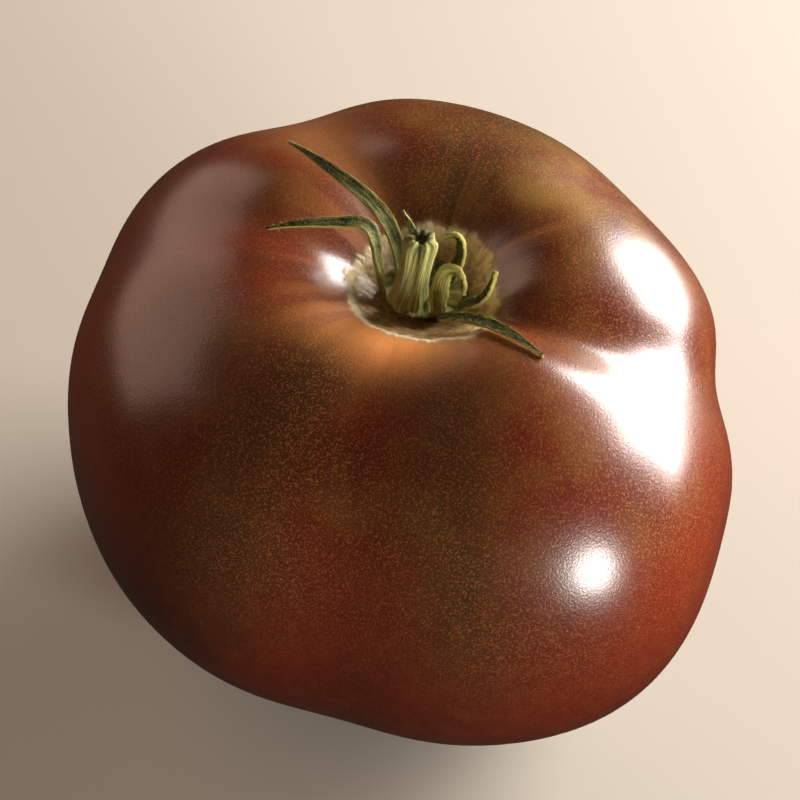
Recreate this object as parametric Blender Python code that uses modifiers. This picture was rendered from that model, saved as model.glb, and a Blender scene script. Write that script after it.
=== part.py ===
"""Ripe heirloom beefsteak tomato with its dried calyx and a stub of stem.

Run with: blender --background --python part.py
Metres, +Z up.  The fruit rests on z = 0 with its box centred on x = y = 0.
The fruit grew as one piece.  The calyx base, the stem stub and each sepal are pieces of their own.
"""

from math import acos, atan2, cos, degrees, exp, hypot, pi, radians, sin

import bmesh
import bpy
from mathutils import Quaternion, Vector
from mathutils.bvhtree import BVHTree

MM = 0.001

# ---- Fruit: a squat body whose section is fuller than an ellipse -------------------------------
FRUIT_RADIUS = 40.0 * MM       # mean radius at the widest level
SHOULDER_HEIGHT = 31.0 * MM    # widest level to the top of the body, before the stem cavity
BASE_DEPTH = 30.0 * MM         # widest level to the lowest point, before it presses flat
REST_PRESS = 1.2 * MM          # how far the base is flattened where it rests
SHOULDER_POWER = 2.6           # 2 is an ellipse, more is squarer
BASE_POWER = 2.2
STRETCH = 0.05                 # the plan outline is longer along one diagonal
STRETCH_DIRECTION = -50.0      # degrees from +X

# Furrows between the lobes, and lobes that swell, as a depth below zero: direction in degrees,
# depth, half width in degrees, how much of it reaches over the shoulder, and how many degrees it
# sweeps round on its way from the widest level to the stem
FURROWS = {
    "right": (3.0, 2.6 * MM, 12.0, 1.5, -44.0),
    "right_back": (34.0, 1.1 * MM, 15.0, 0.4, 0.0),
    "back": (112.0, 2.8 * MM, 15.0, 0.8, 0.0),
    "left": (160.0, 1.5 * MM, 14.0, 0.8, 0.0),
    "left_lobe": (208.0, -0.5 * MM, 16.0, 1.0, 0.0),
    "front": (256.0, 4.5 * MM, 20.0, 0.25, 0.0),
    "front_right_lobe": (306.0, -2.4 * MM, 19.0, 0.8, 0.0),
    "front_right": (338.0, 0.8 * MM, 12.0, 0.3, 0.0),
}
SHOULDER_DIP = 0.6             # how far a furrow lowers the shoulder, against its depth
FURROW_REACH = 22.0 * MM       # how far below the widest level the furrows run out
FURROW_FADE = 8.0 * MM

# ---- Stem cavity and blossom end --------------------------------------------------------------
HUB = Vector((2.5, 1.0)) * MM  # the stem sits a little off the middle of the body
HUB_PULL = 1.5                 # how quickly the body turns off its middle towards the stem
CAVITY_DEPTH = 8.0 * MM
CAVITY_RADIUS = 12.0 * MM
PIT_DEPTH = 1.5 * MM           # steeper hollow inside the corky scar
PIT_RADIUS = 8.5 * MM
PIT_POWER = 4.0
BLOSSOM_RADIUS = 6.0 * MM
BLOSSOM_DEPTH = 2.2 * MM       # before the base presses flat

# ---- Fruit cage -------------------------------------------------------------------------------
CAGE_SEGMENTS = 32
CAGE_RINGS = 24
CAGE_CROWDING = 0.45           # draws the cage's rings towards both poles

# ---- Calyx ------------------------------------------------------------------------------------
GAP = 0.3 * MM                 # clearance between pieces that touch
BASE_RADIUS = 4.6 * MM         # the disc that the sepals and the stem grow from
BASE_THICKNESS = 1.2 * MM
STUB_HEIGHT = 8.6 * MM
STUB_RADIUS = 1.8 * MM
STUB_FOOT_RADIUS = 2.1 * MM
STUB_PITH_RADIUS = 0.75 * MM   # hollow in the broken end
STUB_PITH_DEPTH = 1.2 * MM
STUB_FOOT = Vector((-2.0, -2.4)) * MM    # from the hub, in plan
STUB_LEAN = Vector((1.7, 1.6)) * MM      # how far the broken end leans from the foot
STUB_RIBS = 6
STUB_RIB_HEIGHT = 0.16 * MM
STUB_SIDES = 24

SEPAL_THICKNESS = 0.6 * MM
SEPAL_STEPS = 18               # quads along a sepal
SEPAL_LANES = 4                # quads across it
SEPAL_FOOT_SHARE = 0.75        # width at the foot against the widest point
SEPAL_TIP_SHARE = 0.2          # width at the blunt tip
SEPAL_TIP_POWER = 3.0          # how late the blade narrows
SEPAL_CURL = 0.35              # how far the edges turn in, against the half width
SEPAL_FOOT_LIFT = 0.55 * MM    # middle of the foot above its seat, which clears its lower corners

# Each sepal: half width, twist in degrees from foot to tip, where its foot stands, and the route
# of its middle line from there.  The foot is a direction round the stub's foot, in degrees, and a
# clearance outside it.  The route is (right of the foot, behind the foot, above the skin).  A foot
# without a height of its own follows the calyx base that the sepal grows from.
SEPALS = {
    "sepal_back_left": (1.1, -50.0, (101.0, 1.8), [
        (-0.3, 1.3, 3.5), (-0.9, 2.8, 4.8), (-2.0, 4.3, 5.3), (-4.1, 6.2, 4.9),
        (-7.2, 8.8, 4.1), (-10.2, 12.2, 3.2), (-12.8, 16.0, 2.3)]),
    "sepal_left": (1.2, -75.0, (146.0, 1.3), [
        (-0.3, 0.5, 3.2), (-0.7, 1.1, 5.4), (-1.0, 2.0, 6.9), (-1.6, 2.9, 7.4),
        (-3.1, 3.5, 6.5), (-5.9, 3.7, 4.8), (-9.5, 3.7, 3.4), (-13.1, 3.8, 2.1)]),
    "sepal_front": (1.15, 0.0, (-25.0, 2.0), [
        (0.1, 0.1, 2.8), (0.3, 0.8, 5.2), (0.9, 1.4, 7.2), (1.9, 1.2, 7.3),
        (2.6, 0.5, 5.6), (2.8, -0.1, 3.8)]),
    "sepal_right": (1.0, 0.0, (-5.0, 3.9), [
        (1.1, -1.4, 1.9), (2.6, -1.4, 1.9), (3.6, -0.7, 2.6), (4.1, 0.3, 3.7)]),
    "sepal_back_right": (1.1, 0.0, (34.0, 3.8), [
        (0.8, 0.3, 2.2), (1.5, 1.0, 4.0), (1.4, 1.8, 5.4), (0.5, 2.2, 6.2), (-0.7, 1.9, 6.5)]),
    "sepal_back": (0.6, 0.0, (74.0, 4.0), [
        (-0.4, 0.7, 3.3), (-1.1, 1.5, 5.4), (-2.0, 2.6, 6.4)]),
    "sepal_low": (0.85, 0.0, (-43.0, 3.4), [
        (0.0, 0.0, 1.1), (2.7, -2.2, 1.2), (5.3, -4.1, 1.1), (8.2, -6.7, 1.1),
        (11.1, -9.1, 1.0)]),
}

# ---- Finishes: colour, roughness --------------------------------------------------------------
FINISHES = {
    "skin": ((0.16, 0.035, 0.012), 0.22),
    "calyx": ((0.10, 0.13, 0.035), 0.75),
    "stem": ((0.24, 0.27, 0.10), 0.8),
    "sepal": ((0.08, 0.11, 0.03), 0.7),
}


def clear_scene():
    for old in list(bpy.data.objects):
        bpy.data.objects.remove(old)


def make_material(name):
    colour, roughness = FINISHES[name]
    material = bpy.data.materials.new(name)
    material.use_nodes = True
    shader = material.node_tree.nodes["Principled BSDF"]
    shader.inputs["Base Color"].default_value = (*colour, 1.0)
    shader.inputs["Roughness"].default_value = roughness
    shader.inputs["Metallic"].default_value = 0.0
    material.diffuse_color = (*colour, 1.0)
    return material


def add_object(name, mesh, finish, collection):
    mesh.materials.append(make_material(finish))
    mesh.shade_smooth()
    piece = bpy.data.objects.new(name, mesh)
    collection.objects.link(piece)
    return piece


def evaluated(piece):
    bpy.context.view_layer.update()
    return piece.evaluated_get(bpy.context.evaluated_depsgraph_get())


def bump(angle, direction, half_width):
    """A smooth rise of 1 at a direction, dying out either side; angles in degrees."""
    turn = (angle - direction + 180.0) % 360.0 - 180.0
    return exp(-(turn / half_width) ** 2)


def furrow_depth(azimuth, share):
    """How far the skin lies inside its plain outline, and below its plain shoulder."""
    side = 0.0
    shoulder = 0.0
    for direction, depth, half_width, over, sweep in FURROWS.values():
        here = depth * bump(azimuth, direction + sweep * (1.0 - share) ** 0.5, half_width)
        side += here
        shoulder += here * over
    return side, shoulder


def skin_point(polar, azimuth):
    """Point of the skin, from the angle off the stem axis and the angle around it, in radians."""
    upper = cos(polar) > 0.0
    height = SHOULDER_HEIGHT if upper else BASE_DEPTH
    power = SHOULDER_POWER if upper else BASE_POWER
    across = (sin(polar) / FRUIT_RADIUS) ** power
    reach = (across + (abs(cos(polar)) / height) ** power) ** (-1.0 / power)
    rho = reach * sin(polar)
    z = reach * cos(polar)
    share = min(rho / FRUIT_RADIUS, 1.0)
    rise = max(z / SHOULDER_HEIGHT, 0.0)

    side, shoulder = furrow_depth(degrees(azimuth), share)
    fade = 1.0 / (1.0 + exp(-(z + FURROW_REACH) / FURROW_FADE))
    stretch = STRETCH * cos(2.0 * (azimuth - radians(STRETCH_DIRECTION)))
    radius = rho * (1.0 + stretch * share) * (1.0 - side * fade / FRUIT_RADIUS)
    z -= SHOULDER_DIP * shoulder * rise * sin(pi * share ** 0.8)
    pull = Vector((0.0, 0.0))
    if upper:
        z -= CAVITY_DEPTH * exp(-(rho / CAVITY_RADIUS) ** 2)
        z -= PIT_DEPTH * exp(-(rho / PIT_RADIUS) ** PIT_POWER)
        pull = HUB * (1.0 - share) ** HUB_PULL
    elif rho < BLOSSOM_RADIUS:
        z += BLOSSOM_DEPTH * (1.0 - (rho / BLOSSOM_RADIUS) ** 2) ** 2
    return Vector((radius * cos(azimuth) + pull.x, radius * sin(azimuth) + pull.y, z))


def make_fruit(collection):
    """The whole fruit: a sphere cage drawn onto the skin, subdivided, then pressed flat below."""
    shape = bmesh.new()
    bmesh.ops.create_uvsphere(shape, u_segments=CAGE_SEGMENTS, v_segments=CAGE_RINGS, radius=1.0)
    for vert in shape.verts:
        polar = acos(max(-1.0, min(1.0, vert.co.z)))
        polar -= CAGE_CROWDING * sin(2.0 * polar) / 2.0
        vert.co = skin_point(polar, atan2(vert.co.y, vert.co.x))
    cage_mesh = bpy.data.meshes.new("fruit_cage")
    shape.to_mesh(cage_mesh)
    shape.free()
    cage = bpy.data.objects.new("fruit_cage", cage_mesh)
    collection.objects.link(cage)
    smooth = cage.modifiers.new("smooth", "SUBSURF")
    smooth.levels = 1
    smooth.render_levels = 1
    mesh = bpy.data.meshes.new_from_object(evaluated(cage))
    mesh.name = "fruit"
    bpy.data.objects.remove(cage)
    for vert in mesh.vertices:
        vert.co.z = max(vert.co.z, REST_PRESS - BASE_DEPTH)
    return add_object("fruit", mesh, "skin", collection)


class Ground:
    """Heights of the skin, and of the calyx base on it, at a place given from the hub."""

    def __init__(self, fruit):
        self.tree = BVHTree.FromObject(evaluated(fruit), bpy.context.evaluated_depsgraph_get())

    def skin(self, right, back):
        above = Vector((HUB.x + right, HUB.y + back, 2.0 * SHOULDER_HEIGHT))
        hit = self.tree.ray_cast(above, Vector((0.0, 0.0, -1.0)))[0]
        return hit.z

    def seat(self, right, back):
        """Top of the calyx base, and the gap above it."""
        out = min(hypot(right, back) / BASE_RADIUS, 1.0)
        dome = 0.5 + 0.5 * (1.0 - out ** 2) ** 0.5
        return self.skin(right, back) + GAP + BASE_THICKNESS * dome + GAP

    def place(self, right, back, height):
        return Vector((HUB.x + right, HUB.y + back, height))


def make_calyx_base(ground, collection):
    """A thin button that follows the bottom of the stem cavity."""
    shape = bmesh.new()
    bmesh.ops.create_uvsphere(shape, u_segments=24, v_segments=12, radius=1.0)
    for vert in shape.verts:
        right = BASE_RADIUS * vert.co.x
        back = BASE_RADIUS * vert.co.y
        lift = GAP + BASE_THICKNESS * (1.0 + vert.co.z) / 2.0
        vert.co = ground.place(right, back, ground.skin(right, back) + lift)
    mesh = bpy.data.meshes.new("calyx_base")
    shape.to_mesh(mesh)
    shape.free()
    return add_object("calyx_base", mesh, "calyx", collection)


def make_stem_stub(ground, collection):
    """The broken end of the stem: a turned shape, then ribbed and leaned."""
    profile = [
        (0.0, STUB_HEIGHT - STUB_PITH_DEPTH),
        (STUB_PITH_RADIUS, STUB_HEIGHT - 0.8 * STUB_PITH_DEPTH),
        (1.2 * STUB_PITH_RADIUS, STUB_HEIGHT),
        (0.9 * STUB_RADIUS, STUB_HEIGHT - 0.1 * STUB_PITH_DEPTH),
        (STUB_RADIUS, 0.92 * STUB_HEIGHT),
        (0.92 * STUB_RADIUS, 0.7 * STUB_HEIGHT),
        (0.9 * STUB_RADIUS, 0.5 * STUB_HEIGHT),
        (STUB_RADIUS, 0.25 * STUB_HEIGHT),
        (STUB_FOOT_RADIUS, 0.08 * STUB_HEIGHT),
        (0.85 * STUB_FOOT_RADIUS, 0.0),
        (0.0, 0.0),
    ]
    mesh = bpy.data.meshes.new("stem_profile")
    edges = [(i, i + 1) for i in range(len(profile) - 1)]
    mesh.from_pydata([(radius, 0.0, height) for radius, height in profile], edges, [])
    turned = bpy.data.objects.new("stem_profile", mesh)
    collection.objects.link(turned)
    screw = turned.modifiers.new("turn", "SCREW")
    screw.steps = STUB_SIDES
    screw.render_steps = STUB_SIDES
    screw.use_merge_vertices = True
    screw.merge_threshold = 0.00001
    stub_mesh = bpy.data.meshes.new_from_object(evaluated(turned))
    stub_mesh.name = "stem_stub"
    bpy.data.objects.remove(turned)

    samples = [2.0 * pi * i / STUB_SIDES for i in range(STUB_SIDES)]
    foot = max(
        ground.seat(STUB_FOOT.x + reach * cos(turn), STUB_FOOT.y + reach * sin(turn))
        for turn in samples for reach in (0.0, 0.5 * STUB_FOOT_RADIUS, STUB_FOOT_RADIUS))
    for vert in stub_mesh.vertices:
        up = vert.co.z / STUB_HEIGHT
        turn = atan2(vert.co.y, vert.co.x)
        out = hypot(vert.co.x, vert.co.y)
        if out > STUB_PITH_RADIUS:
            out += STUB_RIB_HEIGHT * cos(STUB_RIBS * turn + 2.0 * up)
        right = STUB_FOOT.x + STUB_LEAN.x * up + out * cos(turn)
        back = STUB_FOOT.y + STUB_LEAN.y * up ** 2 + out * sin(turn)
        vert.co = ground.place(right, back, foot + vert.co.z)
    return add_object("stem_stub", stub_mesh, "stem", collection)


def smooth_route(points, share):
    """Point at a share of the way along a smooth curve through the route's own points."""
    along = share * (len(points) - 1)
    i = min(int(along), len(points) - 2)
    t = along - i
    p1 = points[i]
    p2 = points[i + 1]
    p0 = points[i - 1] if i > 0 else 2.0 * p1 - p2
    p3 = points[i + 2] if i + 2 < len(points) else 2.0 * p2 - p1
    bend = (2.0 * p0 - 5.0 * p1 + 4.0 * p2 - p3) * t ** 2 + (3.0 * p1 - p0 - 3.0 * p2 + p3) * t ** 3
    return 0.5 * (2.0 * p1 + (p2 - p0) * t + bend)


def blade_width(share):
    """Half width of a sepal along its length, against its widest."""
    foot = SEPAL_FOOT_SHARE + (1.0 - SEPAL_FOOT_SHARE) * min(share / 0.2, 1.0)
    return foot * max(SEPAL_TIP_SHARE, 1.0 - share ** SEPAL_TIP_POWER)


def make_sepal(name, ground, collection):
    half_width, twist, (direction, clearance), route = SEPALS[name]
    half_width *= MM
    out = STUB_FOOT_RADIUS + clearance * MM
    foot_right = STUB_FOOT.x + out * cos(radians(direction))
    foot_back = STUB_FOOT.y + out * sin(radians(direction))
    lies_flat = route[0][:2] == (0.0, 0.0)
    points = []
    if not lies_flat:
        height = ground.seat(foot_right, foot_back) + SEPAL_FOOT_LIFT
        points.append(ground.place(foot_right, foot_back, height))
    for stop in route:
        right = foot_right + stop[0] * MM
        back = foot_back + stop[1] * MM
        points.append(ground.place(right, back, ground.skin(right, back) + stop[2] * MM))

    # A frame carried along the route without turning about it.  It starts facing the stem, and the
    # low one starts facing up.
    stations = []
    inward = Vector((HUB.x - points[0].x, HUB.y - points[0].y, 0.0))
    if lies_flat:
        inward = Vector((0.0, 0.0, 1.0))
    heading = (smooth_route(points, 0.01) - points[0]).normalized()
    facing = (inward - inward.dot(heading) * heading).normalized()
    for step in range(SEPAL_STEPS + 1):
        share = step / SEPAL_STEPS
        here = smooth_route(points, share)
        ahead = smooth_route(points, min(share + 0.01, 1.0))
        behind = smooth_route(points, max(share - 0.01, 0.0))
        new_heading = (ahead - behind).normalized()
        facing.rotate(heading.rotation_difference(new_heading))
        heading = new_heading
        turned = facing.copy()
        turned.rotate(Quaternion(heading, radians(twist) * share))
        stations.append((here, turned, heading.cross(turned)))

    shape = bmesh.new()
    bmesh.ops.create_grid(shape, x_segments=SEPAL_STEPS, y_segments=SEPAL_LANES, size=0.5)
    for vert in shape.verts:
        step = round((vert.co.x + 0.5) * SEPAL_STEPS)
        across = 2.0 * vert.co.y
        here, turned, side = stations[step]
        half = half_width * blade_width(step / SEPAL_STEPS)
        vert.co = here + half * (across * side + SEPAL_CURL * across ** 2 * turned)
    mesh = bpy.data.meshes.new(name)
    shape.to_mesh(mesh)
    shape.free()
    sepal = add_object(name, mesh, "sepal", collection)
    wall = sepal.modifiers.new("thickness", "SOLIDIFY")
    wall.thickness = SEPAL_THICKNESS
    wall.offset = 0.0
    return sepal


def plan_centre():
    """Middle of the fruit's box in plan, about the axis that the skin is drawn around."""
    outline = [skin_point(pi / 2.0, radians(turn)) for turn in range(360)]
    xs = [point.x for point in outline]
    ys = [point.y for point in outline]
    return (min(xs) + max(xs)) / 2.0, (min(ys) + max(ys)) / 2.0


def main():
    clear_scene()
    collection = bpy.data.collections.new("tomato")
    bpy.context.scene.collection.children.link(collection)
    fruit = make_fruit(collection)
    ground = Ground(fruit)
    pieces = [fruit, make_calyx_base(ground, collection), make_stem_stub(ground, collection)]
    pieces += [make_sepal(name, ground, collection) for name in SEPALS]

    # The parent carries the model from the body's own axis to the resting frame.
    resting = bpy.data.objects.new("resting_frame", None)
    collection.objects.link(resting)
    centre_x, centre_y = plan_centre()
    resting.location = (-centre_x, -centre_y, BASE_DEPTH - REST_PRESS)
    for piece in pieces:
        piece.parent = resting


main()
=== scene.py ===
# Looks of the ripe heirloom tomato: skin, corky scar, dried calyx, stem stub, light and camera.
# Metres, +Z up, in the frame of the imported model.  The fruit and the fuzz are made by node trees,
# and the stem stub, the calyx base and the sepals are lofted along their routes.
from math import cos, hypot, pi, radians, sin

import bmesh
import bpy
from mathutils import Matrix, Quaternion, Vector, noise
from mathutils.bvhtree import BVHTree


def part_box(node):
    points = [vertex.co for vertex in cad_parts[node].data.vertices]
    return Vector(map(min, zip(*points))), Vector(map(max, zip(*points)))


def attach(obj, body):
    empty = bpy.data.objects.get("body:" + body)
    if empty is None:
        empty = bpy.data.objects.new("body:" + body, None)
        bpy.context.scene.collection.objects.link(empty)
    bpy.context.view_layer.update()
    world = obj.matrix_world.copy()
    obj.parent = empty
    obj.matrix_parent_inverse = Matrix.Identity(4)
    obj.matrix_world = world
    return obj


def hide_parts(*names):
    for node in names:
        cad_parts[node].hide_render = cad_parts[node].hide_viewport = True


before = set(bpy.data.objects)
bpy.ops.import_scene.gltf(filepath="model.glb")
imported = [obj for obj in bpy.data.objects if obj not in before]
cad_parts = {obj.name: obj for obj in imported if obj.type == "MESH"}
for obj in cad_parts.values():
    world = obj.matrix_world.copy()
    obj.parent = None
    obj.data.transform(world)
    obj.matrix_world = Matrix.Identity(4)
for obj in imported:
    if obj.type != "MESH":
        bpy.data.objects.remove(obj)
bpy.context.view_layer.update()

MM = 0.001

# ---- The fruit's shape -------------------------------------------------------------------------
FRUIT_SIZES = {
    "Fruit Radius": 40.0 * MM,
    "Shoulder Height": 31.0 * MM,
    "Base Depth": 30.0 * MM,
    "Rest Press": 1.2 * MM,
    "Shoulder Power": 2.6,
    "Base Power": 2.2,
    "Stretch": 0.05,
    "Furrow Reach": 22.0 * MM,
    "Furrow Fade": 8.0 * MM,
    "Shoulder Dip": 0.6,
    "Cavity Depth": 8.0 * MM,
    "Cavity Radius": 12.0 * MM,
    "Pit Depth": 1.5 * MM,
    "Pit Radius": 8.5 * MM,
    "Blossom Radius": 6.0 * MM,
    "Blossom Depth": 2.2 * MM,
    "Scar Radius": 8.7 * MM,
    "Scar Lip": 0.35 * MM,
    "Scar Depth": 0.3 * MM,
    "Pucker Height": 0.05 * MM,
    "Wave Height": 0.2 * MM,
}
STRETCH_DIRECTION = -50.0
# Direction in degrees, depth, half width in degrees, share that reaches over the shoulder, and
# degrees of sweep from the widest level to the stem
FURROWS = {
    "right": (3.0, 2.6 * MM, 12.0, 1.5, -44.0),
    "right_back": (34.0, 1.1 * MM, 15.0, 0.4, 0.0),
    "back": (112.0, 2.8 * MM, 15.0, 0.8, 0.0),
    "left": (160.0, 1.5 * MM, 14.0, 0.8, 0.0),
    "left_lobe": (208.0, -0.5 * MM, 16.0, 1.0, 0.0),
    "front": (256.0, 4.5 * MM, 20.0, 0.25, 0.0),
    "front_right_lobe": (306.0, -2.4 * MM, 19.0, 0.8, 0.0),
    "front_right": (338.0, 0.8 * MM, 12.0, 0.3, 0.0),
}
HUB_FROM_AXIS = Vector((2.5, 1.0)) * MM
HUB_PULL = 1.5
PIT_POWER = 4.0
FRUIT_SEGMENTS = 384
FRUIT_RINGS = 240
FRUIT_CROWDING = 0.6
SCAR_FROM_HUB = Vector((0.0, -1.2)) * MM
SCAR_EDGE_WIDTH = 0.55 * MM
SCAR_RAGGEDNESS = 1.1 * MM       # how far the scar's edge wanders in and out
WAVE_LENGTH = 22.0 * MM
WAVE_FULL_HEIGHT = 20.0 * MM     # the waves die out below this, so that the fruit rests flat
PUCKER_REACH = 7.0 * MM          # how far the puckers run out from the scar

# ---- Calyx -------------------------------------------------------------------------------------
GAP = 0.3 * MM
BASE_THICKNESS = 1.2 * MM
STUB_RADIUS = 1.8 * MM
STUB_FOOT_RADIUS = 2.1 * MM
STUB_PITH_RADIUS = 0.75 * MM
STUB_PITH_DEPTH = 1.2 * MM
STUB_FOOT = Vector((-2.0, -2.4)) * MM
STUB_LEAN = Vector((1.7, 1.6)) * MM
STUB_RIM = 0.45 * MM             # how uneven its broken end is
STUB_RIM_START = 0.85            # share of its height above which the end is uneven
STUB_ROWS = 110
STUB_SIDES = 96
BASE_ROWS = 40
BASE_SIDES = 120
BASE_RIDGES = 22
BASE_RIDGE = 0.05 * MM
SEPAL_STEPS = 72
SEPAL_LANES = 14
SEPAL_THICKNESS = 0.55 * MM
SEPAL_CURL = 0.35
SEPAL_ROOT_DEPTH = 0.5 * MM
SEPAL_WRING = 9.0                # degrees of uneven twist
SEPAL_RIB = 0.05 * MM
SEPAL_ROUGHNESS = 0.13 * MM
# Each sepal: half width, twist in degrees from foot to tip, where its foot stands, and the route
# of its middle line from there.  The foot is a direction round the stub's foot, in degrees, and a
# clearance outside it.  The route is (right of the foot, behind the foot, above the skin).  A foot
# without a height of its own follows the calyx base that the sepal grows from.
SEPALS = {
    "sepal_back_left": (1.1, -50.0, (101.0, 1.8), [
        (-0.3, 1.3, 3.5), (-0.9, 2.8, 4.8), (-2.0, 4.3, 5.3), (-4.1, 6.2, 4.9),
        (-7.2, 8.8, 4.1), (-10.2, 12.2, 3.2), (-12.8, 16.0, 2.3)]),
    "sepal_left": (1.2, -75.0, (146.0, 1.3), [
        (-0.3, 0.5, 3.2), (-0.7, 1.1, 5.4), (-1.0, 2.0, 6.9), (-1.6, 2.9, 7.4),
        (-3.1, 3.5, 6.5), (-5.9, 3.7, 4.8), (-9.5, 3.7, 3.4), (-13.1, 3.8, 2.1)]),
    "sepal_front": (1.15, 0.0, (-25.0, 2.0), [
        (0.1, 0.1, 2.8), (0.3, 0.8, 5.2), (0.9, 1.4, 7.2), (1.9, 1.2, 7.3),
        (2.6, 0.5, 5.6), (2.8, -0.1, 3.8)]),
    "sepal_right": (1.0, 0.0, (-5.0, 3.9), [
        (1.1, -1.4, 1.9), (2.6, -1.4, 1.9), (3.6, -0.7, 2.6), (4.1, 0.3, 3.7)]),
    "sepal_back_right": (1.1, 0.0, (34.0, 3.8), [
        (0.8, 0.3, 2.2), (1.5, 1.0, 4.0), (1.4, 1.8, 5.4), (0.5, 2.2, 6.2), (-0.7, 1.9, 6.5)]),
    "sepal_back": (0.6, 0.0, (74.0, 4.0), [
        (-0.4, 0.7, 3.3), (-1.1, 1.5, 5.4), (-2.0, 2.6, 6.4)]),
    "sepal_low": (0.85, 0.0, (-43.0, 3.4), [
        (0.0, 0.0, 1.1), (2.7, -2.2, 1.2), (5.3, -4.1, 1.1), (8.2, -6.7, 1.1),
        (11.1, -9.1, 1.0)]),
}

# ---- Where the frame puts them -----------------------------------------------------------------
base_low, base_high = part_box("calyx_base")
stub_low, stub_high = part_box("stem_stub")
FRUIT_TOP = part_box("fruit")[1].z
HUB = (base_low + base_high).xy / 2.0
BASE_RADIUS = (base_high.x - base_low.x) / 2.0
AXIS = HUB - HUB_FROM_AXIS
WIDEST_LEVEL = FRUIT_SIZES["Base Depth"] - FRUIT_SIZES["Rest Press"]
STUB_HEIGHT = stub_high.z - stub_low.z

# ---- Colours, as linear red, green and blue, and the sizes of the skin's patterns ---------------
DEEP_RED = (0.125, 0.0125, 0.003)
BROWN_RED = (0.075, 0.0095, 0.003)
CLEAR_RED = (0.15, 0.013, 0.002)
# Painted light: brighter red on the left flank
FLANK_LIGHT_RED = (0.24, 0.033, 0.012)
# Painted shade that darkens the underside
UNDERSIDE_SHADE_RED = (0.05, 0.002, 0.001)
SHOULDER_GREEN = (0.27, 0.15, 0.030)
# Painted shade for the dark bands down the front and back
BAND_SHADE_BROWN = (0.045, 0.023, 0.006)
# A painted highlight along the back-left ridge
PEACH_HIGHLIGHT = (0.48, 0.21, 0.08)
MOTTLE_BROWN = (0.17, 0.040, 0.008)
FLECK_GOLD = (0.46, 0.14, 0.034)
# Orange streaks round the cavity, brightened as a painted warm sheen
FLAME_ORANGE_AND_SHEEN = (0.80, 0.30, 0.085)
CORK_DARK = (0.30, 0.18, 0.055)
CORK_LIGHT = (0.74, 0.50, 0.19)
LIP_CREAM = (0.85, 0.66, 0.38)
SEPAL_COLOURS = ((0.024, 0.024, 0.003), (0.105, 0.105, 0.010), (0.50, 0.43, 0.11))
STEM_COLOURS = ((0.05, 0.052, 0.010), (0.12, 0.13, 0.020), (0.50, 0.46, 0.16))
HAIR_DARK = (0.34, 0.32, 0.10)
HAIR_PALE = (0.55, 0.50, 0.22)
FLOOR_COLOUR = (0.64, 0.57, 0.48, 1.0)
WORLD_COLOUR = (1.0, 0.74, 0.52, 1.0)
WORLD_STRENGTH = 0.035

BLOTCH_SIZE = 15.0 * MM
PATCH_SIZE = 8.0 * MM
MOTTLE_SIZE = 2.2 * MM
FLECK_SIZE = 0.25 * MM
FLAKE_SIZE = 0.8 * MM
# The orange streaks and the painted warm sheen round the cavity fade between these distances from
# the hub
FLAME_SHEEN_START = 9.0 * MM           # the orange round the cavity starts to fade this far from the hub
FLAME_SHEEN_END = 21.0 * MM
SKIN_BUMP_DEPTH = 0.08 * MM
LEAF_BLOT_SIZE = 1.6 * MM
LEAF_SPECK_SIZE = 0.25 * MM
LEAF_BUMP_DEPTH = 0.08 * MM
SEPAL_FIBRES = 22.0
STEM_FIBRES = 60.0

# ---- Camera and light --------------------------------------------------------------------------
CAMERA_ELEVATION = 50.0
CAMERA_DISTANCE = 480.0 * MM
CAMERA_LENS = 182.0
CAMERA_ASIDE = Vector((-0.24, 3.08)) * MM      # sideways and up, which frames the fruit


class Field:
    """A number at every point of a node tree, so that a shape or a pattern reads as a formula."""

    def __init__(self, tree, socket):
        self.tree = tree
        self.socket = socket

    def math(self, operation, *others):
        node = self.tree.nodes.new("ShaderNodeMath")
        node.operation = operation
        for slot, value in zip(node.inputs, (self, *others)):
            feed(self.tree, value, slot)
        return Field(self.tree, node.outputs[0])

    def __add__(self, other):
        return self.math("ADD", other)

    def __sub__(self, other):
        return self.math("SUBTRACT", other)

    def __rsub__(self, other):
        return self.math("MULTIPLY_ADD", -1.0, other)

    def __mul__(self, other):
        return self.math("MULTIPLY", other)

    def __truediv__(self, other):
        return self.math("DIVIDE", other)

    def __pow__(self, other):
        return self.math("POWER", other)

    __radd__ = __add__
    __rmul__ = __mul__

    def sin(self):
        return self.math("SINE")

    def cos(self):
        return self.math("COSINE")

    def exp(self):
        return self.math("EXPONENT")

    def at_least(self, other):
        return self.math("MAXIMUM", other)

    def at_most(self, other):
        return self.math("MINIMUM", other)

    def ramp(self, start, end):
        """0 before start and 1 after end, turning smoothly between them."""
        node = self.tree.nodes.new("ShaderNodeMapRange")
        node.interpolation_type = "SMOOTHSTEP"
        feed(self.tree, self, node.inputs["Value"])
        feed(self.tree, start, node.inputs["From Min"])
        feed(self.tree, end, node.inputs["From Max"])
        return Field(self.tree, node.outputs["Result"])


def feed(tree, value, slot):
    """Links a field or a socket to a slot, or sets a plain value on it."""
    if isinstance(value, Field):
        tree.links.new(value.socket, slot)
    elif isinstance(value, bpy.types.NodeSocket):
        tree.links.new(value, slot)
    else:
        slot.default_value = value


def split(tree, vector):
    node = tree.nodes.new("ShaderNodeSeparateXYZ")
    tree.links.new(vector, node.inputs[0])
    return [Field(tree, socket) for socket in node.outputs]


def join(tree, x, y, z):
    node = tree.nodes.new("ShaderNodeCombineXYZ")
    for slot, value in zip(node.inputs, (x, y, z)):
        feed(tree, value, slot)
    return node.outputs[0]


def cloud(tree, vector, size, detail=2.0, seed=0.0, roughness=0.5):
    """Smooth noise from 0 to 1 whose lumps are about size across."""
    node = tree.nodes.new("ShaderNodeTexNoise")
    node.noise_dimensions = "4D"
    tree.links.new(vector, node.inputs["Vector"])
    node.inputs["W"].default_value = seed
    node.inputs["Scale"].default_value = 1.0 / size
    node.inputs["Detail"].default_value = detail
    node.inputs["Roughness"].default_value = roughness
    return Field(tree, node.outputs[0])


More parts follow.
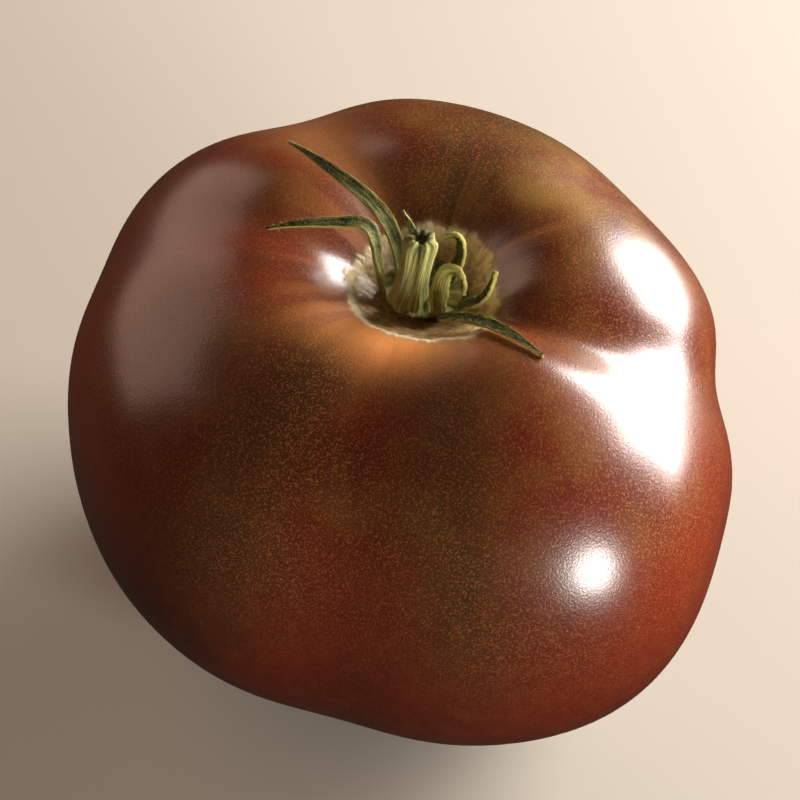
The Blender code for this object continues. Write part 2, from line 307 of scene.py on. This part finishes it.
def rise(angle, direction, half_width):
    """A smooth rise of 1 at a direction, dying out either side; direction and width in degrees."""
    turn = (angle - radians(direction)).math("WRAP", pi, -pi)
    return ((turn / radians(half_width)) ** 2.0 * -1.0).exp()


def around(x, y):
    """Angle round the origin of a plan position."""
    return y.math("ARCTAN2", x)


def distance(x, y):
    return (x * x + y * y) ** 0.5


# ---- Node trees for geometry -------------------------------------------------------------------
def new_tree(name, sizes, needs_mesh=False):
    """An empty geometry tree with a named input for each size, as fields."""
    tree = bpy.data.node_groups.new(name, "GeometryNodeTree")
    tree.interface.new_socket("Geometry", in_out="OUTPUT", socket_type="NodeSocketGeometry")
    if needs_mesh:
        tree.interface.new_socket("Geometry", in_out="INPUT", socket_type="NodeSocketGeometry")
    for label, value in sizes.items():
        kind = "NodeSocketInt" if isinstance(value, int) else "NodeSocketFloat"
        tree.interface.new_socket(label, in_out="INPUT", socket_type=kind)
    source = tree.nodes.new("NodeGroupInput")
    fields = {label: Field(tree, source.outputs[label]) for label in sizes}
    return tree, source, fields


def finish_tree(tree, geometry, material):
    """Ends a tree in realized, smooth geometry with its material."""
    real = tree.nodes.new("GeometryNodeRealizeInstances")
    smooth = tree.nodes.new("GeometryNodeSetShadeSmooth")
    painted = tree.nodes.new("GeometryNodeSetMaterial")
    out = tree.nodes.new("NodeGroupOutput")
    painted.inputs["Material"].default_value = material
    tree.links.new(geometry, real.inputs[0])
    tree.links.new(real.outputs[0], smooth.inputs[0])
    tree.links.new(smooth.outputs[0], painted.inputs[0])
    tree.links.new(painted.outputs[0], out.inputs[0])


def grow(name, tree, sizes, material, source_mesh=None):
    """Runs a tree on an object and keeps the result as a plain mesh."""
    mesh = source_mesh or bpy.data.meshes.new(name + "_source")
    holder = bpy.data.objects.new(name + "_source", mesh)
    bpy.context.scene.collection.objects.link(holder)
    modifier = holder.modifiers.new("grow", "NODES")
    modifier.node_group = tree
    sockets = {item.name: item.identifier for item in tree.interface.items_tree
               if item.in_out == "INPUT"}
    for label, value in sizes.items():
        modifier[sockets[label]] = value
    bpy.context.view_layer.update()
    done = holder.evaluated_get(bpy.context.evaluated_depsgraph_get())
    result = bpy.data.meshes.new_from_object(done)
    result.name = name
    if not result.materials:
        result.materials.append(material)
    piece = bpy.data.objects.new(name, result)
    bpy.context.scene.collection.objects.link(piece)
    bpy.data.objects.remove(holder)
    return piece


def fruit_form(size, azimuth, polar):
    """The lobed fruit with its cavity and blossom dimple: its point for each direction."""
    across = polar.sin()
    along = polar.cos()
    upper = along.math("GREATER_THAN", 0.0)
    height = size["Base Depth"] + (size["Shoulder Height"] - size["Base Depth"]) * upper
    power = size["Base Power"] + (size["Shoulder Power"] - size["Base Power"]) * upper
    spread = (across / size["Fruit Radius"]) ** power + (along.math("ABSOLUTE") / height) ** power
    reach = spread ** (power ** -1.0 * -1.0)
    rho = reach * across
    z = reach * along
    share = (rho / size["Fruit Radius"]).at_most(1.0)
    up = (z / size["Shoulder Height"]).at_least(0.0)

    side = 0.0
    shoulder = 0.0
    for direction, depth, half_width, over, sweep in FURROWS.values():
        swept = azimuth - (1.0 - share) ** 0.5 * radians(sweep)
        here = rise(swept, direction, half_width) * depth
        side = here + side
        shoulder = here * over + shoulder
    fade = ((((z + size["Furrow Reach"]) / size["Furrow Fade"]) * -1.0).exp() + 1.0) ** -1.0
    stretch = ((azimuth - radians(STRETCH_DIRECTION)) * 2.0).cos() * size["Stretch"]
    furrowed = 1.0 - side * fade / size["Fruit Radius"]
    radius = rho * (stretch * share + 1.0) * furrowed
    z = z - size["Shoulder Dip"] * shoulder * up * ((share ** 0.8) * pi).sin()
    z = z - upper * size["Cavity Depth"] * ((rho / size["Cavity Radius"]) ** 2.0 * -1.0).exp()
    z = z - upper * size["Pit Depth"] * ((rho / size["Pit Radius"]) ** PIT_POWER * -1.0).exp()
    dimple = (1.0 - (rho / size["Blossom Radius"]).at_most(1.0) ** 2.0) ** 2.0
    z = z + (1.0 - upper) * size["Blossom Depth"] * dimple
    pull = upper * (1.0 - share) ** HUB_PULL
    x = radius * azimuth.cos() + pull * HUB_FROM_AXIS.x + AXIS.x
    y = radius * azimuth.sin() + pull * HUB_FROM_AXIS.y + AXIS.y
    return x, y, z + (size["Base Depth"] - size["Rest Press"]), upper


def fruit_relief(tree, size, x, y, z, upper):
    """Height with gentle waves, puckers that run out from the stem, and the scar with its lip.

    Also gives how much each point is cork and how much it is lip, from 0 to 1.
    """
    place = join(tree, x, y, z)
    wave = cloud(tree, place, WAVE_LENGTH, detail=0.0, seed=3.0) - 0.5
    from_x = x - (HUB.x + SCAR_FROM_HUB.x)
    from_y = y - (HUB.y + SCAR_FROM_HUB.y)
    out = distance(from_x, from_y)
    turn = around(from_x, from_y)
    circle = join(tree, turn.cos(), turn.sin(), 0.0)
    outline = 1.0 + rise(turn, -60.0, 22.0) * 0.28 - rise(turn, 0.0, 30.0) * 0.14
    edge = size["Scar Radius"] * (outline + (cloud(tree, circle, 0.22, 4.0, 7.0) - 0.5) * 0.22)
    ragged = cloud(tree, place, 0.9 * MM, 4.0, 11.0)
    edge = edge + (ragged - 0.5) * SCAR_RAGGEDNESS
    inside = 1.0 - out.ramp(edge - SCAR_EDGE_WIDTH, edge + SCAR_EDGE_WIDTH)
    rim_width = SCAR_EDGE_WIDTH * (1.0 - rise(turn, 175.0, 55.0) * 0.3)
    cracks = 0.45 + 0.55 * cloud(tree, circle, 0.07, 3.0, 19.0).ramp(0.36, 0.50)
    lip = (((out - edge) / rim_width) ** 2.0 * -1.0).exp() * cracks * upper
    near = ((out - edge).at_least(0.0) / PUCKER_REACH * -1.0).exp() * (1.0 - inside) * upper
    pucker = (cloud(tree, circle, 0.16, 2.0, 5.0) - 0.5) * near
    grain = (cloud(tree, place, 0.7 * MM, 4.0, 2.0) - 0.5) * inside * upper
    z = z + lip * size["Scar Lip"] * (ragged * 1.6 - 0.2)
    z = z - inside * upper * size["Scar Depth"] + grain * size["Scar Depth"] * 0.8
    lift = (z / WAVE_FULL_HEIGHT).at_most(1.0)
    z = z + pucker * size["Pucker Height"] * 2.0 + wave * size["Wave Height"] * lift
    return z.at_least(0.0), inside * upper, lip


def fruit_tree(material):
    """A sphere drawn out to the fruit, resting flat, with its cork and lip marked on its points."""
    tree, _, size = new_tree("Tomato Fruit", FRUIT_SIZES)
    sphere = tree.nodes.new("GeometryNodeMeshUVSphere")
    sphere.inputs["Segments"].default_value = FRUIT_SEGMENTS
    sphere.inputs["Rings"].default_value = FRUIT_RINGS
    sphere.inputs["Radius"].default_value = 1.0
    start_x, start_y, start_z = split(tree, tree.nodes.new("GeometryNodeInputPosition").outputs[0])
    even = start_z.at_most(1.0).at_least(-1.0).math("ARCCOSINE")
    polar = even - (even * 2.0).sin() * (FRUIT_CROWDING / 2.0)
    x, y, z, upper = fruit_form(size, around(start_x, start_y), polar)
    z, cork, lip = fruit_relief(tree, size, x, y, z, upper)

    # The marks are stored first, while the points still lie where the formula reads them
    geometry = sphere.outputs["Mesh"]
    for label, value in (("cork", cork), ("lip", lip)):
        store = tree.nodes.new("GeometryNodeStoreNamedAttribute")
        store.data_type = "FLOAT"
        store.domain = "POINT"
        store.inputs["Name"].default_value = label
        tree.links.new(geometry, store.inputs["Geometry"])
        feed(tree, value, store.inputs["Value"])
        geometry = store.outputs[0]
    moved = tree.nodes.new("GeometryNodeSetPosition")
    tree.links.new(geometry, moved.inputs["Geometry"])
    tree.links.new(join(tree, x, y, z), moved.inputs["Position"])
    finish_tree(tree, moved.outputs[0], material)
    return tree


FUZZ_SIZES = {
    "Hairs Per Square Millimetre": 22.0,
    "Hair Length": 0.42 * MM,
    "Hair Radius": 0.011 * MM,
    "Seed": 4,
}


def fuzz_tree(material):
    """Short fine hairs, scattered over a surface and standing off it at uneven angles."""
    tree, source, size = new_tree("Calyx Fuzz", FUZZ_SIZES, needs_mesh=True)
    scatter = tree.nodes.new("GeometryNodeDistributePointsOnFaces")
    tree.links.new(source.outputs["Geometry"], scatter.inputs["Mesh"])
    feed(tree, size["Hairs Per Square Millimetre"] * 1.0e6, scatter.inputs["Density"])
    feed(tree, size["Seed"], scatter.inputs["Seed"])
    hair = tree.nodes.new("GeometryNodeMeshCone")
    hair.inputs["Vertices"].default_value = 3
    hair.inputs["Side Segments"].default_value = 2
    feed(tree, size["Hair Radius"], hair.inputs["Radius Bottom"])
    feed(tree, size["Hair Length"], hair.inputs["Depth"])
    tilt = tree.nodes.new("FunctionNodeRandomValue")
    tilt.data_type = "FLOAT_VECTOR"
    tilt.inputs["Min"].default_value = (-0.9, -0.9, 0.0)
    tilt.inputs["Max"].default_value = (0.9, 0.9, 2.0 * pi)
    feed(tree, size["Seed"], tilt.inputs["Seed"])
    lean = tree.nodes.new("FunctionNodeEulerToRotation")
    tree.links.new(tilt.outputs["Value"], lean.inputs[0])
    turn = tree.nodes.new("FunctionNodeRotateRotation")
    turn.rotation_space = "LOCAL"
    tree.links.new(scatter.outputs["Rotation"], turn.inputs["Rotation"])
    tree.links.new(lean.outputs[0], turn.inputs["Rotate By"])
    long = tree.nodes.new("FunctionNodeRandomValue")
    long.inputs[2].default_value = 0.35
    long.inputs[3].default_value = 1.2
    feed(tree, size["Seed"], long.inputs["Seed"])
    place = tree.nodes.new("GeometryNodeInstanceOnPoints")
    tree.links.new(scatter.outputs["Points"], place.inputs["Points"])
    tree.links.new(hair.outputs["Mesh"], place.inputs["Instance"])
    tree.links.new(turn.outputs[0], place.inputs["Rotation"])
    tree.links.new(join(tree, 1.0, 1.0, Field(tree, long.outputs[1])), place.inputs["Scale"])
    finish_tree(tree, place.outputs[0], material)
    return tree


# ---- Materials ---------------------------------------------------------------------------------
def new_material(name):
    material = bpy.data.materials.new(name)
    material.use_nodes = True
    tree = material.node_tree
    shader = tree.nodes["Principled BSDF"]
    return material, tree, shader


def coordinates(tree, kind="Object"):
    return tree.nodes.new("ShaderNodeTexCoord").outputs[kind]


def attribute(tree, label):
    node = tree.nodes.new("ShaderNodeAttribute")
    node.attribute_name = label
    return Field(tree, node.outputs["Fac"])


def blend_colour(tree, amount, first, second):
    """first where amount is 0, second where it is 1; either is a colour or a socket."""
    node = tree.nodes.new("ShaderNodeMix")
    node.data_type = "RGBA"
    feed(tree, amount, node.inputs[0])
    for value, slot in ((first, node.inputs[6]), (second, node.inputs[7])):
        feed(tree, (*value, 1.0) if isinstance(value, tuple) else value, slot)
    return node.outputs[2]


def add_bump(tree, shader, height, strength, depth):
    node = tree.nodes.new("ShaderNodeBump")
    node.inputs["Strength"].default_value = strength
    node.inputs["Distance"].default_value = depth
    feed(tree, height, node.inputs["Height"])
    tree.links.new(node.outputs[0], shader.inputs["Normal"])


def make_skin():
    """Glossy dark skin: red-brown, green shoulders, gold flecks and the corky scar, with painted
    shade in dark bands and underneath and painted light on the left flank, the back-left ridge and
    round the cavity.
    """
    material, tree, shader = new_material("tomato_skin")
    place = coordinates(tree)
    x, y, z = split(tree, place)
    from_x = x - HUB.x
    from_y = y - HUB.y
    out = distance(from_x, from_y)
    turn = around(from_x, from_y)
    level = z / FRUIT_TOP

    blotch = cloud(tree, place, BLOTCH_SIZE, 2.0, 1.0)
    patch = cloud(tree, place, PATCH_SIZE, 3.0, 21.0)
    mottle = cloud(tree, place, MOTTLE_SIZE, 4.0, 9.0, 0.6)
    speck = cloud(tree, place, FLECK_SIZE, 1.0, 4.0, 0.6)
    circle = join(tree, turn.cos(), turn.sin(), level * 0.25)
    streak = cloud(tree, circle, 0.22, 3.0, 13.0)

    # Red-brown body, clearer red at the front right, brighter red on the left flank as painted
    # light, and painted shade darkening it underneath
    colour = blend_colour(tree, blotch.ramp(0.35, 0.65), DEEP_RED, BROWN_RED)
    warm = rise(turn, -25.0, 60.0) * (1.0 - level.ramp(0.55, 0.95))
    colour = blend_colour(tree, warm * 0.8, colour, CLEAR_RED)
    painted_flank_light = rise(turn, 180.0, 45.0) * level.ramp(0.35, 0.75)
    colour = blend_colour(tree, painted_flank_light * 0.6, colour, FLANK_LIGHT_RED)
    # Painted shade: darker and deeper red towards the bottom
    underside_shade = 1.0 - level.ramp(0.10, 0.72)
    colour = blend_colour(tree, underside_shade * 0.9, colour, UNDERSIDE_SHADE_RED)
    # Green-brown shoulders, most of all at the back right, in soft patches
    green = rise(turn, 48.0, 34.0) * level.ramp(0.7, 0.95) * (0.2 + 0.8 * patch.ramp(0.35, 0.65))
    green = green * 0.7 + level.ramp(0.6, 0.95) * patch.ramp(0.36, 0.80) * 0.4
    colour = blend_colour(tree, green.at_most(0.75), colour, SHOULDER_GREEN)
    # Painted shade: dark bands down the front and back
    painted_shade_bands = rise(turn, -84.0, 10.0) + rise(turn, -128.0, 12.0) + rise(turn, 70.0, 20.0)
    painted_shade_bands = painted_shade_bands * level.ramp(0.3, 0.75) * 0.75
    colour = blend_colour(tree, painted_shade_bands.at_most(1.0), colour, BAND_SHADE_BROWN)
    # A painted highlight: a peach streak along the back-left ridge
    painted_peach_highlight = rise(turn, 118.0, 12.0) * level.ramp(0.6, 0.85) * 0.45
    colour = blend_colour(tree, painted_peach_highlight, colour, PEACH_HIGHLIGHT)
    # Mottle and gold flecks; the flecks thin out towards the bottom as part of the painted shade
    # there
    colour = blend_colour(tree, mottle.ramp(0.35, 0.75) * 0.25, colour, MOTTLE_BROWN)
    fleck_share = (0.28 + 0.20 * blotch.ramp(0.3, 0.7)) * (0.12 + 0.88 * level.ramp(0.3, 0.85))
    colour = blend_colour(tree, speck.ramp(0.50, 0.66) * fleck_share, colour, FLECK_GOLD)

    # Orange streaks that spread from the cavity, most of all towards the front, brightened there
    # into a painted warm sheen
    flame_and_sheen = (1.0 - out.ramp(FLAME_SHEEN_START, FLAME_SHEEN_END)) * level.ramp(0.6, 0.8)
    front = rise(turn, -105.0, 42.0) * (0.75 + 0.6 * streak)
    flame_and_sheen = flame_and_sheen * (front + streak.ramp(0.5, 0.7) * 0.35)
    flame_and_sheen = flame_and_sheen * (0.85 + 0.3 * mottle)
    colour = blend_colour(tree, flame_and_sheen.at_most(0.95), colour, FLAME_ORANGE_AND_SHEEN)

    # The corky scar and its cream lip
    cork = attribute(tree, "cork")
    lip = attribute(tree, "lip")
    flake = cloud(tree, place, FLAKE_SIZE, 5.0, 17.0, 0.65)
    corky = blend_colour(tree, flake.ramp(0.35, 0.7), CORK_DARK, CORK_LIGHT)
    colour = blend_colour(tree, cork, colour, corky)
    cream = lip * flake.ramp(0.28, 0.42) * 1.9
    colour = blend_colour(tree, cream.at_most(1.0), colour, LIP_CREAM)
    feed(tree, colour, shader.inputs["Base Color"])

    dry = cork.at_least(cream)
    shine = 0.24 + 0.10 * speck + 0.45 * dry
    feed(tree, shine.at_most(0.9), shader.inputs["Roughness"])
    shader.inputs["Specular IOR Level"].default_value = 0.7
    shader.inputs["Coat Weight"].default_value = 0.4
    shader.inputs["Coat Roughness"].default_value = 0.22
    relief = speck * 0.8 + mottle * 0.3 + flake * dry * 3.0
    add_bump(tree, shader, relief, 0.45, SKIN_BUMP_DEPTH)
    return material


def make_leaf(name, colours, fibre_count):
    """Dry leaf tissue: dark upper face, pale fibrous lower face, and pale fuzzy edges."""
    dark, green, pale = colours
    material, tree, shader = new_material(name)
    place = coordinates(tree)
    along, turn, _ = split(tree, coordinates(tree, "UV"))
    section = turn * (2.0 * pi)
    upper = section.sin() * 0.5 + 0.5
    edge = section.cos().math("ABSOLUTE") ** 7.0
    lines = join(tree, along * 3.0, turn * fibre_count, 0.0)
    fibre = cloud(tree, lines, 1.0, 3.0, 2.0, 0.6)
    blot = cloud(tree, place, LEAF_BLOT_SIZE, 3.0, 6.0)
    speck = cloud(tree, place, LEAF_SPECK_SIZE, 2.0, 8.0)
    face = blend_colour(tree, fibre.ramp(0.38, 0.62), green, pale)
    inner = blend_colour(tree, blot.ramp(0.35, 0.7), dark, green)
    colour = blend_colour(tree, upper.ramp(0.3, 0.7), face, inner)
    colour = blend_colour(tree, edge * (0.4 + 0.6 * blot), colour, pale)
    colour = blend_colour(tree, speck.ramp(0.55, 0.75) * 0.35, colour, pale)
    feed(tree, colour, shader.inputs["Base Color"])
    feed(tree, 0.62 + 0.25 * fibre, shader.inputs["Roughness"])
    shader.inputs["Specular IOR Level"].default_value = 0.3
    add_bump(tree, shader, fibre + speck * 0.4, 0.7, LEAF_BUMP_DEPTH)
    return material


def make_hair():
    """Pale, dull fuzz."""
    material, tree, shader = new_material("pale_fuzz")
    place = coordinates(tree)
    tone = cloud(tree, place, 3.0 * MM, 2.0, 1.0)
    colour = blend_colour(tree, tone.ramp(0.3, 0.7), HAIR_DARK, HAIR_PALE)
    feed(tree, colour, shader.inputs["Base Color"])
    feed(tree, 0.5 + 0.2 * tone, shader.inputs["Roughness"])
    add_bump(tree, shader, cloud(tree, place, 0.05 * MM, 1.0, 2.0), 0.3, 0.005 * MM)
    return material


# ---- Lofted pieces of the calyx ----------------------------------------------------------------
class Ground:
    """Heights of the skin and of the calyx base, at places given from the hub."""

    def __init__(self, node):
        mesh = node.data
        points = [vert.co.copy() for vert in mesh.vertices]
        faces = [tuple(polygon.vertices) for polygon in mesh.polygons]
        self.tree = BVHTree.FromPolygons(points, faces)

    def skin(self, right, back):
        above = Vector((HUB.x + right, HUB.y + back, 2.0 * FRUIT_TOP))
        return self.tree.ray_cast(above, Vector((0.0, 0.0, -1.0)))[0].z

    def seat(self, right, back):
        out = min(hypot(right, back) / BASE_RADIUS, 1.0)
        dome = 0.5 + 0.5 * (1.0 - out ** 2) ** 0.5
        return self.skin(right, back) + GAP + BASE_THICKNESS * dome + GAP

    def place(self, right, back, height):
        return Vector((HUB.x + right, HUB.y + back, height))


def loft(name, rings, material):
    """A closed body through rings of points, with its ends drawn to their middles."""
    shape = bmesh.new()
    uv = shape.loops.layers.uv.new("UVMap")
    count = len(rings[0])
    rows = [[shape.verts.new(point) for point in ring] for ring in rings]
    for i in range(len(rows) - 1):
        for j in range(count):
            k = (j + 1) % count
            face = shape.faces.new((rows[i][j], rows[i][k], rows[i + 1][k], rows[i + 1][j]))
            corners = ((i, j), (i, j + 1), (i + 1, j + 1), (i + 1, j))
            for loop, (row, column) in zip(face.loops, corners):
                loop[uv].uv = (row / (len(rows) - 1), column / count)
    for row, share in ((0, 0.0), (len(rows) - 1, 1.0)):
        middle = shape.verts.new(sum((vert.co for vert in rows[row]), Vector()) / count)
        for j in range(count):
            face = shape.faces.new((rows[row][j], rows[row][(j + 1) % count], middle))
            for loop in face.loops:
                loop[uv].uv = (share, j / count)
    bmesh.ops.recalc_face_normals(shape, faces=shape.faces)
    mesh = bpy.data.meshes.new(name)
    shape.to_mesh(mesh)
    shape.free()
    mesh.shade_smooth()
    mesh.materials.append(material)
    piece = bpy.data.objects.new(name, mesh)
    bpy.context.scene.collection.objects.link(piece)
    return piece


def lump(x, y, seed):
    """Smooth noise from -1 to 1."""
    return noise.noise(Vector((x, y, seed)))


def smooth_route(points, share):
    """The place at a share of the way along a smooth line through the points."""
    along = share * (len(points) - 1)
    i = min(int(along), len(points) - 2)
    t = along - i
    p1 = points[i]
    p2 = points[i + 1]
    p0 = points[i - 1] if i > 0 else 2.0 * p1 - p2
    p3 = points[i + 2] if i + 2 < len(points) else 2.0 * p2 - p1
    bend = (2.0 * p0 - 5.0 * p1 + 4.0 * p2 - p3) * t ** 2 + (3.0 * p1 - p0 - 3.0 * p2 + p3) * t ** 3
    return 0.5 * (2.0 * p1 + (p2 - p0) * t + bend)


def blade_width(share, seed):
    """Width of a sepal along its length, as a share of its widest."""
    foot = 0.75 + 0.25 * min(share / 0.2, 1.0)
    ragged = 1.0 + 0.10 * lump(share * 9.0, 0.0, seed) + 0.05 * lump(share * 31.0, 3.0, seed)
    return foot * max(0.12, 1.0 - share ** 3.0) * ragged


def make_sepal(name, seed, ground, material):
    """A dried sepal: a ribbed blade with turned-in, ragged edges, carried along its route."""
    half_width, twist, (direction, clearance), route = SEPALS[name]
    half_width *= MM
    out = STUB_FOOT_RADIUS + clearance * MM
    foot_right = STUB_FOOT.x + out * cos(radians(direction))
    foot_back = STUB_FOOT.y + out * sin(radians(direction))
    lies_flat = route[0][:2] == (0.0, 0.0)
    points = []
    if not lies_flat:
        height = ground.seat(foot_right, foot_back) - SEPAL_ROOT_DEPTH
        points.append(ground.place(foot_right, foot_back, height))
    for stop in route:
        right = foot_right + stop[0] * MM
        back = foot_back + stop[1] * MM
        points.append(ground.place(right, back, ground.skin(right, back) + stop[2] * MM))
    inward = Vector((HUB.x - points[0].x, HUB.y - points[0].y, 0.0))
    if lies_flat:
        inward = Vector((0.0, 0.0, 1.0))
    heading = (smooth_route(points, 0.01) - points[0]).normalized()
    facing = (inward - inward.dot(heading) * heading).normalized()

    rings = []
    for step in range(SEPAL_STEPS + 1):
        share = step / SEPAL_STEPS
        here = smooth_route(points, share)
        ahead = smooth_route(points, min(share + 0.01, 1.0))
        behind = smooth_route(points, max(share - 0.01, 0.0))
        new_heading = (ahead - behind).normalized()
        facing.rotate(heading.rotation_difference(new_heading))
        heading = new_heading
        turned = facing.copy()
        wring = twist + SEPAL_WRING * lump(share * 4.0, 5.0, seed)
        turned.rotate(Quaternion(heading, radians(wring) * share))
        side = heading.cross(turned)
        half = half_width * blade_width(share, seed)
        ring = []
        for lane in range(2 * SEPAL_LANES):
            angle = pi * lane / SEPAL_LANES
            across = cos(angle)
            thick = SEPAL_THICKNESS / 2.0 * (0.35 + 0.65 * (1.0 - across ** 2) ** 0.5)
            rib = SEPAL_RIB * cos(across * 11.0 + 2.0 * lump(share * 5.0, across, seed))
            over = thick * (1.0 if sin(angle) > 1e-6 else -1.0 if sin(angle) < -1e-6 else 0.0)
            rough = SEPAL_ROUGHNESS * lump(share * 20.0, across * 3.0, seed)
            curl = half * SEPAL_CURL * across ** 2 + rib + rough
            ring.append(here + across * half * side + (curl + over) * turned)
        rings.append(ring)
    return loft(name + "_leaf", rings, material)


def make_stub(ground, material):
    """The broken stem: fibres in ridges up its side, a ragged rim and a dark pith."""
    profile = [
        (0.02 * STUB_RADIUS, STUB_HEIGHT - STUB_PITH_DEPTH),
        (0.6 * STUB_PITH_RADIUS, STUB_HEIGHT - 0.98 * STUB_PITH_DEPTH),
        (STUB_PITH_RADIUS, STUB_HEIGHT - 0.8 * STUB_PITH_DEPTH),
        (1.2 * STUB_PITH_RADIUS, STUB_HEIGHT),
        (0.9 * STUB_RADIUS, STUB_HEIGHT - 0.1 * STUB_PITH_DEPTH),
        (STUB_RADIUS, 0.92 * STUB_HEIGHT),
        (0.92 * STUB_RADIUS, 0.7 * STUB_HEIGHT),
        (0.9 * STUB_RADIUS, 0.5 * STUB_HEIGHT),
        (STUB_RADIUS, 0.25 * STUB_HEIGHT),
        (STUB_FOOT_RADIUS, 0.08 * STUB_HEIGHT),
        (0.85 * STUB_FOOT_RADIUS, 0.0),
        (0.02 * STUB_FOOT_RADIUS, 0.0),
    ]
    line = [Vector((radius, height, 0.0)) for radius, height in profile]
    rings = []
    for row in range(STUB_ROWS + 1):
        at = smooth_route(line, row / STUB_ROWS)
        up = at.y / STUB_HEIGHT
        ring = []
        for i in range(STUB_SIDES):
            turn = 2.0 * pi * i / STUB_SIDES
            skin = min(at.x / STUB_RADIUS, 1.0)
            ridge = 0.2 * cos(6.0 * turn + 2.0 * up)
            ridge += 0.22 * lump(5.0 * cos(turn), 5.0 * sin(turn), up)
            ridge += 0.05 * lump(16.0 * cos(turn), 16.0 * sin(turn), 3.0 * up)
            out = max(at.x, 0.0) + ridge * MM * skin
            broken = max(up - STUB_RIM_START, 0.0) / (1.0 - STUB_RIM_START)
            rim = STUB_RIM * lump(2.5 * cos(turn), 2.5 * sin(turn), 9.0) * broken
            right = STUB_FOOT.x + STUB_LEAN.x * up + out * cos(turn)
            back = STUB_FOOT.y + STUB_LEAN.y * up ** 2 + out * sin(turn)
            ring.append(ground.place(right, back, stub_low.z + at.y + rim))
        rings.append(ring)
    return loft("stem_stub_wood", rings, material)


def make_base(ground, material):
    """The calyx base: a thin ridged button that follows the bottom of the cavity."""
    rings = []
    for row in range(BASE_ROWS + 1):
        angle = pi * (0.01 + 0.98 * row / BASE_ROWS)
        ring = []
        for i in range(BASE_SIDES):
            turn = 2.0 * pi * i / BASE_SIDES
            ragged = 1.0 + 0.05 * lump(3.0 * cos(turn), 3.0 * sin(turn), 1.0) * sin(angle)
            out = BASE_RADIUS * sin(angle) * ragged
            right = out * cos(turn)
            back = out * sin(turn)
            ridge = BASE_RIDGE * cos(BASE_RIDGES * turn) * sin(angle)
            lift = GAP + BASE_THICKNESS * (1.0 + cos(angle)) / 2.0 + ridge * (1.0 + cos(angle))
            ring.append(ground.place(right, back, ground.skin(right, back) + lift))
        rings.append(ring)
    return loft("calyx_base_disc", rings, material)


# ---- Stage -------------------------------------------------------------------------------------
def make_camera():
    """Looks down on the fruit from the front, and frames it."""
    elevation = radians(CAMERA_ELEVATION)
    look = Vector((0.0, cos(elevation), -sin(elevation)))
    right = Vector((1.0, 0.0, 0.0))
    up = right.cross(look)
    data = bpy.data.cameras.new("camera")
    data.sensor_width = 36.0
    data.lens = CAMERA_LENS
    camera = bpy.data.objects.new("camera", data)
    middle = Vector((AXIS.x, AXIS.y, WIDEST_LEVEL))
    camera.location = (middle - CAMERA_DISTANCE * look
                       + CAMERA_ASIDE.x * right + CAMERA_ASIDE.y * up)
    camera.rotation_mode = "QUATERNION"
    camera.rotation_quaternion = look.to_track_quat("-Z", "Y")
    bpy.context.scene.collection.objects.link(camera)
    bpy.context.scene.camera = camera


# Each light: direction round the fruit and up from it in degrees, distance, width, height,
# brightness of its face, colour, and whether its face is round
LIGHTS = {
    "key": (32.0, 13.0, 0.55, 0.44, 0.36, 22.0, (1.0, 0.97, 0.93), False),
    "spot": (-48.0, 7.0, 0.60, 0.22, 0.22, 32.0, (1.0, 0.98, 0.94), True),
    "panel": (142.0, 22.0, 0.70, 0.80, 0.55, 1.3, (1.0, 0.68, 0.52), False),
}


def make_lights():
    target = Vector((0.0, 0.0, WIDEST_LEVEL))
    for name, (azimuth, height, far, wide, tall, bright, colour, is_round) in LIGHTS.items():
        data = bpy.data.lights.new(name, "AREA")
        data.shape = "ELLIPSE" if is_round else "RECTANGLE"
        data.size = wide
        data.size_y = tall
        face = wide * tall * (pi / 4.0 if is_round else 1.0)
        data.energy = bright * pi * face
        data.color = colour
        light = bpy.data.objects.new(name, data)
        turn = radians(azimuth)
        up = radians(height)
        away = Vector((cos(turn) * cos(up), sin(turn) * cos(up), sin(up)))
        light.location = target + far * away
        light.rotation_mode = "QUATERNION"
        light.rotation_quaternion = away.to_track_quat("Z", "Y")
        bpy.context.scene.collection.objects.link(light)
    world = bpy.data.worlds.new("studio")
    world.use_nodes = True
    world.node_tree.nodes["Background"].inputs["Color"].default_value = WORLD_COLOUR
    world.node_tree.nodes["Background"].inputs["Strength"].default_value = WORLD_STRENGTH
    bpy.context.scene.world = world
    bpy.context.scene.view_settings.view_transform = "Standard"


def make_floor():
    shape = bmesh.new()
    bmesh.ops.create_grid(shape, x_segments=1, y_segments=1, size=1.5)
    mesh = bpy.data.meshes.new("floor")
    shape.to_mesh(mesh)
    shape.free()
    floor = bpy.data.objects.new("floor", mesh)
    bpy.context.scene.collection.objects.link(floor)
    material, _, shader = new_material("pale_floor")
    shader.inputs["Base Color"].default_value = FLOOR_COLOUR
    shader.inputs["Roughness"].default_value = 0.8
    mesh.materials.append(material)
    floor.visible_glossy = False


def keep(piece, node):
    """Puts a piece on the part in place of its CAD node."""
    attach(piece, "root")
    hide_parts(node)


def main():
    make_camera()
    make_lights()
    make_floor()
    ground = Ground(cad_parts["fruit"])
    skin = make_skin()
    leaf = make_leaf("dry_sepal", SEPAL_COLOURS, SEPAL_FIBRES)
    stem = make_leaf("dry_stem", STEM_COLOURS, STEM_FIBRES)
    hair = make_hair()

    fruit = grow("fruit_skin", fruit_tree(skin), FRUIT_SIZES, skin)
    keep(fruit, "fruit")
    base = make_base(ground, stem)
    keep(base, "calyx_base")
    stub = make_stub(ground, stem)
    keep(stub, "stem_stub")
    furry = [(stub, "stem")]
    for seed, name in enumerate(SEPALS):
        sepal = make_sepal(name, 1.7 * seed, ground, leaf)
        keep(sepal, name)
        furry.append((sepal, "sepal"))
    tree = fuzz_tree(hair)
    for number, (piece, slot) in enumerate(furry):
        sizes = {**FUZZ_SIZES, "Seed": 10 + number}
        fuzz = grow(piece.name + "_fuzz", tree, sizes, hair, piece.data.copy())
        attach(fuzz, "root")


main()
